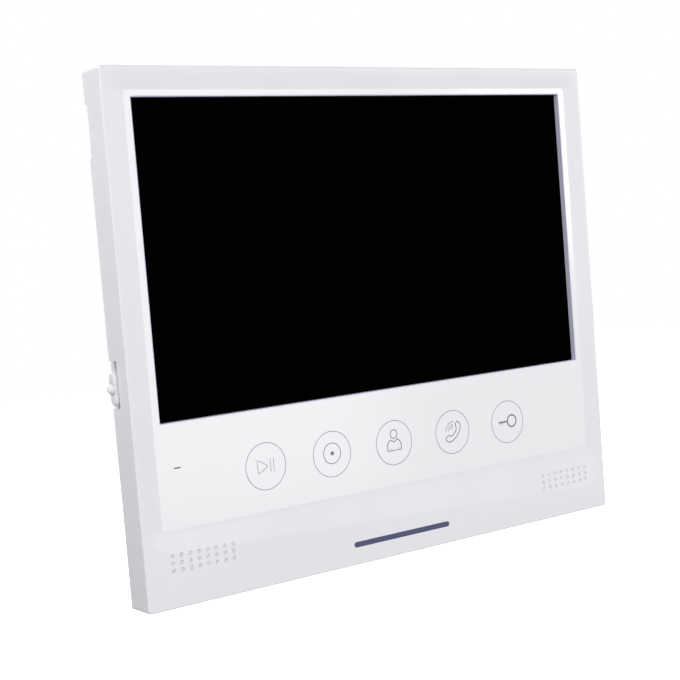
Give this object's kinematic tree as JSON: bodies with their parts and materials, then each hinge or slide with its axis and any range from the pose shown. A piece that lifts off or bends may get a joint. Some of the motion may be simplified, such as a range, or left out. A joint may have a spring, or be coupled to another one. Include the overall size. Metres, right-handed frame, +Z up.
{
  "type": "video intercom monitor",
  "caption": "Slim wall-hung video intercom monitor with a wide screen, round touch keys, chin grilles, a side jog control and a hook-on wall bracket.",
  "frame": {"origin": "centre of the four corner screw holes on the wall bracket's back face, on the wall plane", "axes": "+Z up, -Y out of the wall through the screen, +Y into the wall, +X to the right as a person facing the screen sees it"},
  "size_m": [0.1742, 0.022, 0.144],
  "materials": {
    "zinc_sheet": "zinc plated, satin",
    "shell_white": "fine satin moulding",
    "cover_white": "fine spark-eroded texture",
    "panel_gloss": "polished",
    "ink_grey": "printed ink",
    "ink_navy": "printed ink",
    "surround_grey": "moulded",
    "screen_black": "black display surface",
    "bright_steel": "tinned sheet",
    "tray_white": "moulded",
    "film_amber": "polyimide film",
    "foam_dark": "soft foam",
    "screw_steel": "zinc plated",
    "board_green": "solder mask over laminate",
    "led_white": "lens",
    "clear_pipe": "clear acrylic",
    "chip_black": "moulded epoxy",
    "capacitor_can": "bare can",
    "ferrite_grey": "ferrite",
    "cone_black": "film cone",
    "wire_red": "insulation",
    "wire_grey": "insulation",
    "capsule_metal": "drawn can",
    "rubber_black": "soft rubber",
    "cloth_grey": "fine mesh cloth",
    "label_silver": "blank foil",
    "plunger_grey": "moulded"
  },
  "bodies": {
    "bracket": {"wall_bracket": "zinc_sheet"},
    "monitor": {"front_bezel": "shell_white", "front_panel": "panel_gloss", "panel_tape": "foam_dark", "key_legends": "ink_grey", "chin_print": "ink_navy", "screen_surround": "surround_grey", "lcd_glass": "screen_black", "lcd_frame": "bright_steel", "lcd_backlight": "tray_white", "lcd_flex": "film_amber", "lcd_clamps": "bright_steel", "lcd_clamp_screws": "screw_steel", "insulation_sheet": "film_amber", "touch_board": "board_green", "touch_electrodes": "foam_dark", "key_leds": "led_white", "status_light_pipe": "clear_pipe", "touch_board_screws": "screw_steel", "key_flex": "film_amber", "main_board": "board_green", "processor_shield": "bright_steel", "memory_chips": "chip_black", "capacitors": "capacitor_can", "power_coils": "ferrite_grey", "sd_socket": "bright_steel", "jog_switch_body": "chip_black", "board_screws": "screw_steel", "door_headers": "tray_white", "power_header": "chip_black", "speaker_frame": "chip_black", "speaker_cone": "cone_black", "speaker_magnet": "bright_steel", "speaker_gasket": "foam_dark", "speaker_lead": "wire_red", "microphone_capsule": "capsule_metal", "microphone_boot": "rubber_black", "microphone_lead": "wire_grey", "grille_cloths": "cloth_grey", "rear_cover": "cover_white", "rear_cover_screws": "screw_steel", "rating_label": "label_silver", "rubber_pads": "rubber_black"},
    "jog_carrier": {"jog_plunger": "plunger_grey"},
    "jog_lever": {"jog_rocker": "shell_white"}
  },
  "joints": [
    {"name": "monitor_lift", "type": "slide", "parent": "bracket", "child": "monitor", "axis": [0, 0, 1], "range_m": [0, 0.006]},
    {"name": "jog_press", "type": "slide", "parent": "monitor", "child": "jog_carrier", "axis": [1, 0, 0], "range_m": [0, 0.0005], "stiffness_N_per_m": 1500},
    {"name": "jog_tilt", "type": "hinge", "parent": "jog_carrier", "child": "jog_lever", "pos_m": [-0.0835, -0.01435, -0.012], "axis": [0, 1, 0], "range_deg": [-8, 8], "stiffness_Nm_per_rad": 0.05}
  ]
}
